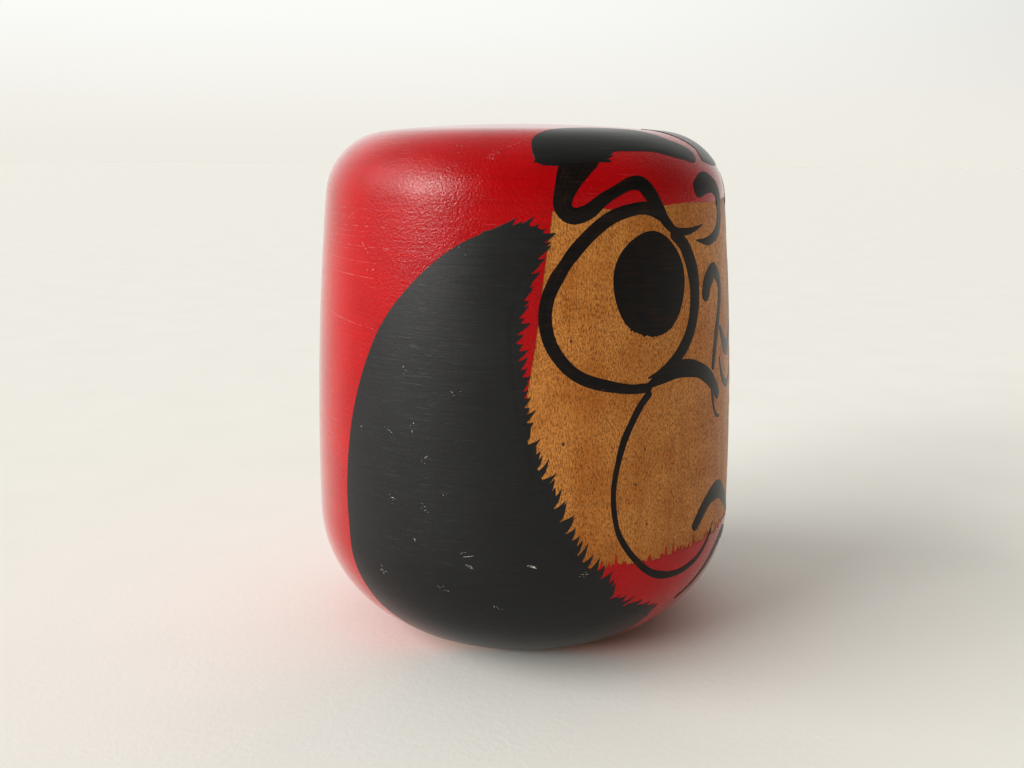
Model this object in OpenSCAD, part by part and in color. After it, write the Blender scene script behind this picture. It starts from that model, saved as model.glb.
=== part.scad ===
// Turned wooden daruma doll: one solid block of wood, a coat of red paint with a window left
// bare for the face, and the face and beard brushed on in black, one film for each stroke.
// The face looks along -Y. "Left" and "right" are as seen from the front.

/* [Body] */
// Height of the doll
body_h = 91; // [76:1:110]
// Radius at the widest line
body_r = 39; // [32:0.5:47]
// Height of the widest line above the base
belly_z = 22.3; // [18:0.1:27]
// Radius of the long curve down the side
side_r = 533; // [440:1:640]
// Radius of the rounded shoulder
shoulder_r = 12; // [10:0.2:14.4]
// Radius of the shallow dome on top
dome_r = 249; // [205:1:300]
// Radius of the round at the foot
foot_r = 22.2; // [18:0.1:26.8]
// How much of the foot's round the flat base cuts off
base_cut = 1; // [0.8:0.1:1.4]

/* [Paint] */
// Thickness of one coat of paint
coat_t = 0.25; // [0.2:0.05:0.3]
// Height of the bare wood left round the edge of the base
bare_z = 1; // [0.8:0.1:1.5]
// Width of a full brush stroke
brush_w = 3; // [2.4:0.1:3.6]

/* [Face] */
// Half the angle that the bare window takes round the body, at its top corner
window_angle = 63; // [58:1:68]
// Angle from the middle of the face to each pupil
eye_angle = 37; // [34:1:40]
// Level of each pupil above the widest line, along the surface, in hundredths of the height
eye_level = 48; // [45:0.5:51]
// Width of a pupil
pupil_w = 14.2; // [11.8:0.2:17.2]
// Height of a pupil
pupil_h = 16.6; // [13.8:0.2:20]

/* [Hidden] */

WOOD = [0.76, 0.52, 0.28];
RED = [0.78, 0.02, 0.05];
BLACK = [0.08, 0.08, 0.09];

LEFT = -1;
RIGHT = 1;
side_facing = 35;    // direction that the strokes of one side of the face are laid from
beard_facing = 82;   // direction that a beard is laid from
ends = 5;            // points round the end of a stroke
between = 3;         // curve points from one point of a stroke to the next
foot_steps = 12;     // straight pieces that each arc of the section is cut into
side_steps = 6;
shoulder_steps = 10;
dome_steps = 5;
reach = 2 * body_r;  // longer than the body is wide
shoulder_cut = 0.75 * body_h;  // the brows are laid from above, and lie above this height

// ---- Section of the body: four arcs, each tangent to the next ----

// Centres of the arcs. The shoulder's centre lies side_r - shoulder_r from the side's centre and
// dome_r - shoulder_r from the dome's, and the foot's lies side_r - foot_r from the side's.
side_c = [body_r - side_r, belly_z];
dome_c = [0, body_h - dome_r];
side_gap = side_r - shoulder_r;
dome_gap = dome_r - shoulder_r;
centres = dome_c - side_c;
along = (side_gap * side_gap - dome_gap * dome_gap + centres * centres) / (2 * norm(centres));
across = sqrt(side_gap * side_gap - along * along);
unit = centres / norm(centres);
shoulder_c = side_c + along * unit + across * [-unit.y, unit.x];
foot_z = foot_r - base_cut;
foot_c = [side_c.x + sqrt((side_r - foot_r) ^ 2 - (foot_z - belly_z) ^ 2), foot_z];

foot_angle = atan2(foot_c.y - side_c.y, foot_c.x - side_c.x);
shoulder_angle = atan2(shoulder_c.y - side_c.y, shoulder_c.x - side_c.x);
dome_angle = atan2(shoulder_c.y - dome_c.y, shoulder_c.x - dome_c.x);

function arc(centre, radius, from, to, steps) =
    [for (i = [1:steps]) let (a = from + (to - from) * i / steps) centre + radius * [cos(a), sin(a)]];

// Half section of the body with so many coats of paint: the first coat makes up the full size
function section(coats) = let (inset = (1 - coats) * coat_t) concat(
    [[0, 0], [foot_c.x + sqrt((foot_r - inset) ^ 2 - foot_c.y ^ 2), 0]],
    arc(foot_c, foot_r - inset, -asin(foot_c.y / (foot_r - inset)), foot_angle, foot_steps),
    arc(side_c, side_r - inset, foot_angle, shoulder_angle, side_steps),
    arc(shoulder_c, shoulder_r - inset, shoulder_angle, dome_angle, shoulder_steps),
    arc(dome_c, dome_r - inset, dome_angle, 90, dome_steps)
);

module turned(coats) {
    rotate_extrude($fn = 96)
        polygon(section(coats));
}

// ---- Places on the surface ----

// A place is [angle, level]: degrees round from the middle of the face, and the distance up the
// surface from the widest line in hundredths of the body's height.
radian = 180 / PI;
side_up = side_r * shoulder_angle / radian;
shoulder_up = shoulder_r * (dome_angle - shoulder_angle) / radian;
side_down = -side_r * foot_angle / radian;

function on_arc(centre, radius, angle) = centre + radius * [cos(angle), sin(angle)];

// [radius, height] of the surface at a level
function level_at(level) = let (s = level * body_h / 100)
    s < -side_down ? on_arc(foot_c, foot_r, foot_angle + (s + side_down) / foot_r * radian) :
    s < side_up ? on_arc(side_c, side_r, s / side_r * radian) :
    s < side_up + shoulder_up ?
        on_arc(shoulder_c, shoulder_r, shoulder_angle + (s - side_up) / shoulder_r * radian) :
    on_arc(dome_c, dome_r, dome_angle + (s - side_up - shoulder_up) / dome_r * radian);

// A place seen from the direction facing, and a place seen from above
function seen(place, facing) = let (p = level_at(place[1])) [p.x * sin(place[0] - facing), p.y];
function from_above(place) = let (p = level_at(place[1])) p.x * [sin(place[0]), -cos(place[0])];

// ---- Outlines ----

// Catmull-Rom curve value between b and c, with a before and d after
function curve(a, b, c, d, t) =
    0.5 * (2 * b + (c - a) * t + (2 * a - 5 * b + 4 * c - d) * t ^ 2 + (3 * b - a - 3 * c + d) * t ^ 3);

function smooth(p) = let (n = len(p)) [
    for (i = [0:n - 2], j = [0:between - 1])
        curve(p[max(i - 1, 0)], p[i], p[i + 1], p[min(i + 2, n - 1)], j / between),
    p[n - 1]
];

function sideways(p, i) = let (
    step = p[min(i + 1, len(p) - 1)] - p[max(i - 1, 0)],
    size = norm([step.x, step.y])
) [-step.y, step.x] / size;

// Points round the end of a stroke, turning from the side direction n to its opposite
function round_end(p, n) = [
    for (k = [1:ends]) let (a = 180 * k / (ends + 1))
        [p.x, p.y] + p[2] / 2 * (cos(a) * n + sin(a) * [n.y, -n.x])
];

// Outline of a brush stroke along points [x, y, width]
function stroke_outline(path) = let (p = smooth(path), n = len(p)) concat(
    [for (i = [0:n - 1]) [p[i].x, p[i].y] + sideways(p, i) * p[i][2] / 2],
    round_end(p[n - 1], sideways(p, n - 1)),
    [for (i = [n - 1:-1:0]) [p[i].x, p[i].y] - sideways(p, i) * p[i][2] / 2],
    round_end(p[0], -sideways(p, 0))
);

// A stroke of the left side of the face, seen from -side_facing. Each row is
// [angle, level, share of the brush's width].
module stroke(rows) {
    polygon(stroke_outline([
        for (r = rows) let (p = seen(r, -side_facing)) [p.x, p.y, r[2] * brush_w]
    ]));
}

// A stroke across the middle of the face, seen from the front
module middle_stroke(rows) {
    polygon(stroke_outline([
        for (r = rows) let (p = seen(r, 0)) [p.x, p.y, r[2] * brush_w]
    ]));
}

// ---- Films of paint ----

// Pushes an outline through the body from the direction facing
module push(facing) {
    rotate([0, 0, facing])
        rotate([90, 0, 0])
            linear_extrude(reach)
                children();
}

// Pushes an outline of the left side of the face through the body, or its mirror image on the right
module push_side(side, facing = side_facing) {
    mirror([side == RIGHT ? 1 : 0, 0, 0])
        push(-facing)
            children();
}

module above(z) {
    translate([-reach, -reach, z])
        cube([2 * reach, 2 * reach, body_h]);
}

// Window of bare wood left for the face: level above and below, with slanting sides
module face_window() {
    corners = [
        [2, 61.9], [-window_angle, 60.6], [-window_angle - 2, 50.6], [-window_angle - 4, 38.5],
        [-window_angle - 7, 25.3], [-window_angle - 5, 5.1], [-window_angle + 8, -2], [2, -2]
    ];
    for (side = [LEFT, RIGHT])
        push_side(side)
            polygon([for (c = corners) seen(c, -side_facing)]);
}

// What a black stroke takes up: a second coat over the red, and both coats where the wood is bare
module ink() {
    intersection() {
        difference() {
            turned(2);
            difference() {
                turned(1);
                face_window();
            }
            turned(0);
        }
        above(bare_z);
        children();
    }
}

// ---- Strokes of the left side of the face: [angle, level, share of the brush's width] ----

brow_curl_rows = [
    [-55, 69.9, 1.9], [-58, 66.9, 1.5], [-60, 63.8, 1.1], [-60.6, 61.6, 0.95], [-59.2, 60.1, 0.85],
    [-57, 59.8, 0.8], [-53.9, 60.6, 0.75], [-50.5, 62.4, 0.65], [-46.5, 63.9, 0.6], [-42.8, 65, 0.7],
    [-39.5, 65, 0.85], [-37, 63.3, 0.85], [-34.5, 60.8, 0.75], [-31.5, 58.2, 0.6],
    [-28.5, 56.8, 0.45], [-24, 56.6, 0.4], [-20, 57, 0.25], [-16.5, 57.6, 0.06]
];
eye_ring_outer_rows = [
    [-33.5, 59.8, 0.7], [-37.5, 60.8, 0.65], [-41.5, 60.8, 0.65], [-47.5, 59.7, 0.7], [-52.5, 57.5, 0.7],
    [-57.5, 54.1, 0.7], [-61.5, 50.2, 0.7], [-64, 46.6, 0.7], [-64.8, 43, 0.7], [-63.7, 39, 0.7],
    [-61, 35.7, 0.65], [-57.5, 33.3, 0.65], [-53.5, 31.9, 0.65], [-48.5, 30.9, 0.6],
    [-43.5, 30.2, 0.55], [-38.5, 30.1, 0.5]
];
eye_ring_inner_rows = [
    [-29.5, 56.1, 0.5], [-25.5, 54.2, 0.8], [-22.5, 50.2, 0.95], [-21.5, 46.2, 0.95],
    [-22.2, 41.9, 0.9], [-24.5, 38.2, 0.8], [-28.5, 35, 0.7], [-33.5, 32.8, 0.5],
    [-38.5, 31.8, 0.1]
];
frown_rows = [
    [-17.5, 64.1, 1.1], [-13.5, 65, 1.3], [-9.5, 64.8, 1.2], [-6.2, 63.6, 1], [-4.4, 61.4, 0.9],
    [-4.2, 59, 0.85], [-6, 56.6, 0.75], [-9.5, 55.2, 0.6], [-14.5, 54.5, 0.45], [-20, 54.9, 0.08]
];
nose_side_rows = [
    [-16, 45.2, 0.95], [-14.6, 47.3, 1.05], [-11.2, 49, 0.95], [-7.8, 47.6, 0.7], [-6.6, 45, 0.6],
    [-7.5, 42, 0.6], [-9.7, 37.6, 0.6], [-11.3, 34, 0.5], [-12.4, 31.2, 0.4]
];
moustache_rows = [
    [-38, 30.6, 0.4], [-34.5, 31.6, 0.75], [-29.5, 32.5, 0.95], [-24.5, 32.3, 0.95],
    [-19.5, 31.3, 0.9], [-15, 29.5, 0.9], [-11.7, 27.5, 0.85], [-9.6, 25.9, 0.8]
];
moustache_tail_rows = [
    [-13, 26.8, 0.35], [-12.3, 24.5, 0.3], [-11.3, 22.7, 0.25], [-9.6, 21.4, 0.22], [-7.8, 21.1, 0.15]
];
cheek_line_rows = [
    [-38.5, 28.9, 0.45], [-40.8, 27.1, 0.42], [-43, 24.6, 0.42], [-45.4, 21.1, 0.4], [-47.2, 16.3, 0.33],
    [-48, 11.9, 0.3], [-47.5, 7.4, 0.3], [-46, 3.6, 0.33], [-42.2, -0.6, 0.36], [-37.3, -4.1, 0.4],
    [-32.6, -5.7, 0.48], [-28.5, -6.3, 0.42], [-24.2, -6.3, 0.42], [-18.6, -5.2, 0.4],
    [-14, -2.7, 0.3], [-10.5, 0.4, 0.1]
];

// Strokes across the middle of the face
mouth_rows = [
    [-20.5, 1.8, 0.7], [-16.8, 4.3, 0.85], [-13, 5.9, 1], [-8.5, 6.4, 1.15], [-4.7, 5.4, 1],
    [-0.9, 3.3, 0.85], [3, 1.3, 0.75], [7.5, -0.6, 0.7], [13, -1.6, 0.7], [19, -1.6, 0.5]
];
lip_rows = [[-21.5, -14, 0.3], [-15, -11.5, 0.5], [-9.5, -8.7, 0.65], [-5, -6, 0.75], [0, -4.4, 0.8]];
nose_tip_rows = [[-6.8, 38, 0.3], [-5, 36.2, 0.7], [-2.6, 34.2, 0.9], [0, 33.5, 0.95]];
nose_base_rows = [
    [-7.8, 32.3, 0.2], [-6.9, 30.6, 0.35], [-5.4, 28.6, 0.45], [-2.6, 26.9, 0.5], [0, 26.4, 0.5]
];

// The rows of the left half, up to its last in the middle, and their mirror image
function both_sides(rows) = concat(
    rows, [for (i = [len(rows) - 2:-1:0]) [-rows[i][0], rows[i][1], rows[i][2]]]
);

// The right side's strokes nearest the middle lie farther out than the left side's: by so many
// degrees in the middle, and less and less out to spread_end.
frown_spread = 5.5;
nose_spread = 2.5;
spread_end = 20;
function spread(rows, side, by) = side == LEFT ? rows : [
    for (r = rows) [r[0] - by * max(0, 1 + r[0] / spread_end), r[1], r[2]]
];

// Brow, laid from above: its outer end and back edge, its inner end, and home by its front edge.
// The right brow's inner end reaches over the middle of the head, up to a gap beside the left one.
brow_back = [
    [-67, 70.4], [-68, 73.9], [-64, 77.2], [-59, 79], [-49, 81.2], [-40, 81.9], [-31, 80.2]
];
brow_short_end = [[-22.8, 76.6], [-20, 74.9], [-15.4, 73.2], [-12.4, 71.8], [-11.8, 70.4], [-15, 68.9]];
brow_long_end = [
    [-14, 83.2], [0, 83.6], [13, 82.6], [13, 79.5], [11.2, 77.2], [8.6, 75], [6.4, 72.6],
    [7.8, 71], [10, 69.6], [7, 68.7], [0, 68.2], [-6, 68.3], [-12, 68.8]
];
brow_front = [
    [-20, 69.4], [-26, 70.3], [-32, 71.2], [-40, 71.3], [-45, 71.1], [-47.5, 70.3], [-47.5, 68.7],
    [-52, 68.5], [-60, 68.2], [-66, 68.3]
];

// Beard: smooth edge behind, down round the foot, and up along the face
beard_places = [
    [-64.5, 58], [-69.5, 58.3], [-74.5, 57.9], [-79.5, 56.9], [-84.5, 55.3], [-89.5, 53.1],
    [-94.5, 50.2], [-99.5, 46.7], [-104, 43.1], [-108, 39], [-111.5, 34.1], [-114.5, 28.9],
    [-117, 23.3], [-119, 16.2], [-120, 8.1], [-119.5, 1.8], [-118.5, -4.9], [-116.5, -10.1],
    [-113.5, -15.2], [-108, -20.3], [-100, -25.3], [-88, -29.4], [-70, -30.9], [-56, -29.4],
    [-45, -26.3], [-36, -21.3], [-31, -15.7],
    [-34.5, -12.8], [-39.5, -11.2], [-44.5, -8.9], [-47.5, -6.3], [-50.5, -2.5], [-54.5, 1],
    [-58, 5.1], [-60.5, 9.6], [-63, 14.2], [-66, 19.2], [-68.5, 24.3], [-70, 30.4], [-71, 37.5], [-71, 42.5],
    [-69.5, 47.6], [-67, 52.7]
];

module brow_prism(side) {
    places = concat(brow_back, side == LEFT ? brow_short_end : brow_long_end, brow_front);
    mirror([side == RIGHT ? 1 : 0, 0, 0])
        translate([0, 0, shoulder_cut])
            linear_extrude(body_h)
                polygon([for (p = places) from_above(p)]);
}

// ---- Pieces ----

module brow(side) {
    color(BLACK)
        ink()
            brow_prism(side);
}

module brow_curl(side) {
    color(BLACK)
        difference() {
            ink()
                push_side(side)
                    stroke(brow_curl_rows);
            brow_prism(side);
        }
}

module eye_ring_outer(side) {
    color(BLACK)
        ink()
            push_side(side)
                difference() {
                    stroke(eye_ring_outer_rows);
                    stroke(brow_curl_rows);
                    pupil_outline();
                }
}

module eye_ring_inner(side) {
    color(BLACK)
        ink()
            push_side(side)
                difference() {
                    stroke(eye_ring_inner_rows);
                    stroke(eye_ring_outer_rows);
                    stroke(brow_curl_rows);
                    pupil_outline();
                }
}

module pupil_outline() {
    middle = seen([-eye_angle, eye_level], -side_facing);
    translate(middle)
        polygon([for (i = [0:35]) [pupil_w / 2 * cos(10 * i), pupil_h / 2 * sin(10 * i)]]);
}

module pupil(side) {
    color(BLACK)
        ink()
            push_side(side)
                difference() {
                    pupil_outline();
                    stroke(brow_curl_rows);
                }
}

module frown(side) {
    color(BLACK)
        ink()
            push_side(side)
                stroke(spread(frown_rows, side, frown_spread));
}

module nose_side(side) {
    color(BLACK)
        ink()
            push_side(side)
                difference() {
                    stroke(spread(nose_side_rows, side, nose_spread));
                    stroke(moustache_rows);
                    stroke(eye_ring_inner_rows);
                }
}

module moustache(side) {
    color(BLACK)
        ink()
            push_side(side)
                difference() {
                    union() {
                        stroke(moustache_rows);
                        stroke(moustache_tail_rows);
                    }
                    stroke(eye_ring_outer_rows);
                    stroke(eye_ring_inner_rows);
                }
}

// The right cheek line stops short of the mouth's longer arm
module cheek_line(side) {
    last = len(cheek_line_rows) - (side == LEFT ? 1 : 2);
    rows = [for (i = [0:last]) cheek_line_rows[i]];
    color(BLACK)
        difference() {
            ink()
                push_side(side)
                    difference() {
                        stroke(rows);
                        stroke(eye_ring_outer_rows);
                        stroke(eye_ring_inner_rows);
                        stroke(moustache_rows);
                    }
            push(0)
                middle_stroke(mouth_rows);
        }
}

module beard(side) {
    color(BLACK)
        ink()
            push_side(side, beard_facing)
                polygon([for (p = beard_places) seen(p, -beard_facing)]);
}

module mouth() {
    color(BLACK)
        ink()
            push(0)
                middle_stroke(mouth_rows);
}

module lower_lip() {
    color(BLACK)
        ink()
            push(0)
                middle_stroke(both_sides(lip_rows));
}

module nose_tip() {
    color(BLACK)
        difference() {
            ink()
                push(0)
                    middle_stroke(both_sides(nose_tip_rows));
            for (side = [LEFT, RIGHT])
                push_side(side)
                    stroke(spread(nose_side_rows, side, nose_spread));
        }
}

module nose_base() {
    color(BLACK)
        ink()
            push(0)
                middle_stroke(both_sides(nose_base_rows));
}

module red_coat() {
    color(RED)
        intersection() {
            difference() {
                turned(1);
                turned(0);
                face_window();
            }
            above(bare_z);
        }
}

module wood_body() {
    color(WOOD)
        turned(0);
}

wood_body();
red_coat();
mouth();
lower_lip();
nose_tip();
nose_base();
beard(LEFT);  // beard_left
beard(RIGHT);  // beard_right
brow(LEFT);  // brow_left
brow(RIGHT);  // brow_right
brow_curl(LEFT);  // brow_curl_left
brow_curl(RIGHT);  // brow_curl_right
eye_ring_outer(LEFT);  // eye_ring_outer_left
eye_ring_outer(RIGHT);  // eye_ring_outer_right
eye_ring_inner(LEFT);  // eye_ring_inner_left
eye_ring_inner(RIGHT);  // eye_ring_inner_right
pupil(LEFT);  // pupil_left
pupil(RIGHT);  // pupil_right
frown(LEFT);  // frown_left
frown(RIGHT);  // frown_right
nose_side(LEFT);  // nose_side_left
nose_side(RIGHT);  // nose_side_right
moustache(LEFT);  // moustache_left
moustache(RIGHT);  // moustache_right
cheek_line(LEFT);  // cheek_line_left
cheek_line(RIGHT);  // cheek_line_right
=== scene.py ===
"""Turned wooden daruma doll.

One solid block of wood is turned to a barrel with a round shoulder, a shallow dome and a round
foot. A coat of red paint leaves a window of bare wood for the face, and the beard, the brows and
the strokes of the face are brushed on in black. The face looks along -Y, and left and right are
as seen from the front. Lengths are in metres. A place on the surface is [angle, level]: degrees
round from the middle of the face, negative on the left, and the distance up the surface from the
widest line, in hundredths of the doll's height.
"""

import logging
import math
from dataclasses import dataclass, replace
from enum import Enum
from functools import cached_property
from typing import Any, Mapping, Sequence, Union

import bmesh
import bpy
import numpy as np
from mathutils import Euler, Matrix, Vector

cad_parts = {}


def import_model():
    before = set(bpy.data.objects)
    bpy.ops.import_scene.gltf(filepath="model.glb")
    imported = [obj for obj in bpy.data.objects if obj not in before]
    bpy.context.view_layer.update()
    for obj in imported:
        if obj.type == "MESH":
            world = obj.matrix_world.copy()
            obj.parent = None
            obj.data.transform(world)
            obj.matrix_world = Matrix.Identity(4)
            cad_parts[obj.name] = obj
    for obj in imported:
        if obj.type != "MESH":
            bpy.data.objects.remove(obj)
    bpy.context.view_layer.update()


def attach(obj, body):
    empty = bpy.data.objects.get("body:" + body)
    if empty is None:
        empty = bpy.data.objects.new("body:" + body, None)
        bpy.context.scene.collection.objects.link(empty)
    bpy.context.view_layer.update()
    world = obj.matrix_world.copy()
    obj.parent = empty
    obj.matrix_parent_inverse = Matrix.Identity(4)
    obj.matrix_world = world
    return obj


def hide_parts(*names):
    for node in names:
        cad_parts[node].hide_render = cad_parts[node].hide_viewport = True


log = logging.getLogger("daruma")

MM = 0.001
PER_DEGREE = 0.68  # millimetres round the doll to a degree, at its widest
PER_LEVEL = 0.91  # millimetres up the surface to a level
Array = np.ndarray
Place = tuple[float, float]
Row = tuple[float, float, float]
Colour = tuple[float, float, float, float]


class Side(Enum):
    """Side of the face, with the sign of its angles."""

    LEFT = -1
    RIGHT = 1


class Slot(Enum):
    """Names of the material slots of the record."""

    WOOD = "bare_wood"
    RED = "red_paint"
    BLACK = "black_paint"
    INK = "black_ink"


# ---- The turned shape ----


@dataclass(frozen=True)
class Turning:
    """Half section of the block: foot, side, shoulder and dome, each an arc tangent to the next."""

    height: float = 91 * MM
    belly_radius: float = 39 * MM
    belly_height: float = 22.3 * MM
    side_radius: float = 533 * MM
    shoulder_radius: float = 12 * MM
    dome_radius: float = 249 * MM
    foot_radius: float = 22.2 * MM
    base_cut: float = 1 * MM

    @cached_property
    def arcs(self) -> dict[str, Array]:
        """Work out the four arcs, from the foot up.

        The side and the dome are fixed by the widest line and the top. The centre of the
        shoulder is as far from each of their centres as their radii differ from its own, and the
        foot's centre is found in the same way from the side's.

        Returns:
            The centres, the radii, the angle and the distance up the surface at which each arc
            is counted from, and the distances at which one arc gives way to the next.
        """
        side = np.array([self.belly_radius - self.side_radius, self.belly_height])
        dome = np.array([0.0, self.height - self.dome_radius])
        side_gap = self.side_radius - self.shoulder_radius
        dome_gap = self.dome_radius - self.shoulder_radius
        apart = dome - side
        span = float(np.hypot(*apart))
        along = (side_gap**2 - dome_gap**2 + span**2) / (2 * span)
        across = math.sqrt(side_gap**2 - along**2)
        unit = apart / span
        shoulder = side + along * unit + across * np.array([-unit[1], unit[0]])
        foot_z = self.foot_radius - self.base_cut
        reach = self.side_radius - self.foot_radius
        foot = np.array([side[0] + math.sqrt(reach**2 - (foot_z - side[1]) ** 2), foot_z])
        foot_angle = math.atan2(foot[1] - side[1], foot[0] - side[0])
        shoulder_angle = math.atan2(shoulder[1] - side[1], shoulder[0] - side[0])
        dome_angle = math.atan2(shoulder[1] - dome[1], shoulder[0] - dome[0])
        side_down = self.side_radius * foot_angle
        side_up = self.side_radius * shoulder_angle
        shoulder_end = side_up + self.shoulder_radius * (dome_angle - shoulder_angle)
        return {
            "centres": np.array([foot, side, shoulder, dome]),
            "radii": np.array(
                [self.foot_radius, self.side_radius, self.shoulder_radius, self.dome_radius]
            ),
            "angles": np.array([foot_angle, 0.0, shoulder_angle, dome_angle]),
            "starts": np.array([side_down, 0.0, side_up, shoulder_end]),
            "breaks": np.array([side_down, side_up, shoulder_end]),
        }

    @cached_property
    def top_level(self) -> float:
        """Level of the top of the dome."""
        arcs = self.arcs
        turn = math.pi / 2 - arcs["angles"][3]
        return 100 * (arcs["starts"][3] + turn * self.dome_radius) / self.height

    def level_of_foot(self, height: float, lift: float = 0.0) -> float:
        """Level at which the foot's arc is at a height.

        Args:
            height: Height above the base, below the foot's centre.
            lift: Distance out from the surface.

        Returns:
            The level.
        """
        arcs = self.arcs
        drop = arcs["centres"][0][1] - height
        angle = -math.asin(drop / (self.foot_radius + lift))
        distance = arcs["starts"][0] + (angle - arcs["angles"][0]) * self.foot_radius
        return 100 * distance / self.height

    def section(self, level: Array, lift: Array) -> tuple[Array, Array]:
        """Radius and height of points of the half section.

        Args:
            level: Levels.
            lift: Distances out from the surface, along its normal.

        Returns:
            The radii and the heights.
        """
        arcs = self.arcs
        distance = np.asarray(level, float) * self.height / 100
        which = np.searchsorted(arcs["breaks"], distance)
        radius = arcs["radii"][which]
        turn = arcs["angles"][which] + (distance - arcs["starts"][which]) / radius
        centre = arcs["centres"][which]
        return (
            np.maximum(centre[..., 0] + (radius + lift) * np.cos(turn), 0.0),
            centre[..., 1] + (radius + lift) * np.sin(turn),
        )

    def wrap(self, angle: Array, level: Array, lift: Array) -> Array:
        """Put places on the surface of revolution: the section turned by the angle about Z.

        Args:
            angle: Degrees round from the middle of the face.
            level: Levels.
            lift: Distances out from the surface.

        Returns:
            Points, with x, y and z along the last axis.
        """
        angle, level, lift = np.broadcast_arrays(np.radians(angle), level, lift)
        radius, height = self.section(level, lift)
        return np.stack([radius * np.sin(angle), -radius * np.cos(angle), height], axis=-1)


# ---- Meshes ----


def smoothstep(low: float, high: float, value: Array) -> Array:
    """Smooth step from 0 at low to 1 at high, 3t^2 - 2t^3 in between."""
    t = np.clip((np.asarray(value, float) - low) / (high - low), 0.0, 1.0)
    return t * t * (3 - 2 * t)


def soft_noise(rng: np.random.Generator, count: int, knots: int) -> Array:
    """Smooth random line of values about zero, from random knots with cosine ramps between them.

    Args:
        rng: Seeded random numbers.
        count: How many values.
        knots: How many knots they are drawn through.

    Returns:
        The values, mostly between -1 and 1.
    """
    heights = rng.normal(0.0, 0.5, knots + 1)
    at = np.linspace(0, knots - 1e-6, count)
    low = at.astype(int)
    t = (1 - np.cos((at - low) * np.pi)) / 2
    return heights[low] * (1 - t) + heights[low + 1] * t


@dataclass
class Patch:
    """Part of a mesh: points, four-sided faces, a flat map in millimetres and a dryness."""

    points: Array
    faces: Array
    flat: Array
    dry: Array
    finish: Array
    sharp: Array

    @staticmethod
    def grid(
        points: Array,
        flat: Array,
        dry: Array,
        keep: Array | None = None,
        sharp: Array | None = None,
    ) -> "Patch":
        """Join a grid of points with four-sided faces.

        Args:
            points: Points, as rows by columns by 3.
            flat: Flat map of the points, as rows by columns by 2.
            dry: Dryness of the points, as rows by columns.
            keep: Which faces to keep, one fewer each way than the points.
            sharp: Which faces stand alone in the shading, such as the walls round a film.

        Returns:
            The patch, with its faces looking away from the axis.
        """
        rows, columns = points.shape[:2]
        index = np.arange(rows * columns).reshape(rows, columns)
        faces = np.stack(
            [index[:-1, :-1], index[:-1, 1:], index[1:, 1:], index[1:, :-1]], axis=-1
        )
        keep = np.ones(faces.shape[:2], bool) if keep is None else keep
        sharp = np.zeros(faces.shape[:2], bool) if sharp is None else sharp
        faces = faces[keep]
        flattened = points.reshape(-1, 3)
        corner = flattened[faces]
        normal = np.cross(corner[:, 2] - corner[:, 0], corner[:, 3] - corner[:, 1])
        outward = corner.mean(axis=1) * np.array([1.0, 1.0, 0.0])
        if float((normal * outward).sum()) < 0:
            faces = faces[:, ::-1]
        return Patch(
            flattened,
            faces,
            flat.reshape(-1, 2),
            np.broadcast_to(dry, (rows, columns)).reshape(-1),
            np.zeros(len(faces), int),
            np.broadcast_to(sharp, keep.shape)[keep],
        )

    @staticmethod
    def join(patches: Sequence["Patch"]) -> "Patch":
        """Put patches into one, with the face numbers of each shifted past those before it."""
        starts = np.cumsum([0] + [len(p.points) for p in patches[:-1]])
        return Patch(
            np.concatenate([p.points for p in patches]),
            np.concatenate([p.faces + start for p, start in zip(patches, starts)]),
            np.concatenate([p.flat for p in patches]),
            np.concatenate([p.dry for p in patches]),
            np.concatenate([p.finish for p in patches]),
            np.concatenate([p.sharp for p in patches]),
        )

    def finished(self, number: int) -> "Patch":
        """The same patch with its faces given another of the piece's finishes."""
        return replace(self, finish=self.finish * 0 + number)


def make_piece(name: str, patch: Patch, finishes: Sequence[bpy.types.Material]) -> bpy.types.Object:
    """Make an object of a patch, with seams and poles closed and smooth faces.

    Args:
        name: Name of the piece.
        patch: Its mesh.
        finishes: Its materials, in the order of the patch's finish numbers.

    Returns:
        The object, at the origin, with its place in its mesh.
    """
    mesh = bpy.data.meshes.new(name)
    count = len(patch.faces)
    mesh.vertices.add(len(patch.points))
    mesh.vertices.foreach_set("co", patch.points.astype(np.float32).ravel())
    mesh.loops.add(count * 4)
    mesh.loops.foreach_set("vertex_index", patch.faces.astype(np.int32).ravel())
    mesh.polygons.add(count)
    mesh.polygons.foreach_set("loop_start", np.arange(0, count * 4, 4, dtype=np.int32))
    mesh.polygons.foreach_set("material_index", patch.finish.astype(np.int32))
    mesh.polygons.foreach_set("use_smooth", ~patch.sharp)
    mesh.update(calc_edges=True)
    layer = mesh.uv_layers.new(name="flat")
    layer.data.foreach_set("uv", patch.flat[patch.faces.ravel()].astype(np.float32).ravel())
    dry = mesh.attributes.new("dry", "FLOAT", "POINT")
    dry.data.foreach_set("value", patch.dry.astype(np.float32))
    shape = bmesh.new()
    shape.from_mesh(mesh)
    bmesh.ops.remove_doubles(shape, verts=shape.verts, dist=1e-7)
    bmesh.ops.dissolve_degenerate(shape, edges=shape.edges, dist=1e-8)
    for edge in shape.edges:
        edge.smooth = all(face.smooth for face in edge.link_faces)
    shape.to_mesh(mesh)
    shape.free()
    for finish in finishes:
        mesh.materials.append(finish)
    mesh.validate()
    piece = bpy.data.objects.new(name, mesh)
    bpy.context.scene.collection.objects.link(piece)
    return piece


# ---- Shader maths ----


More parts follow.
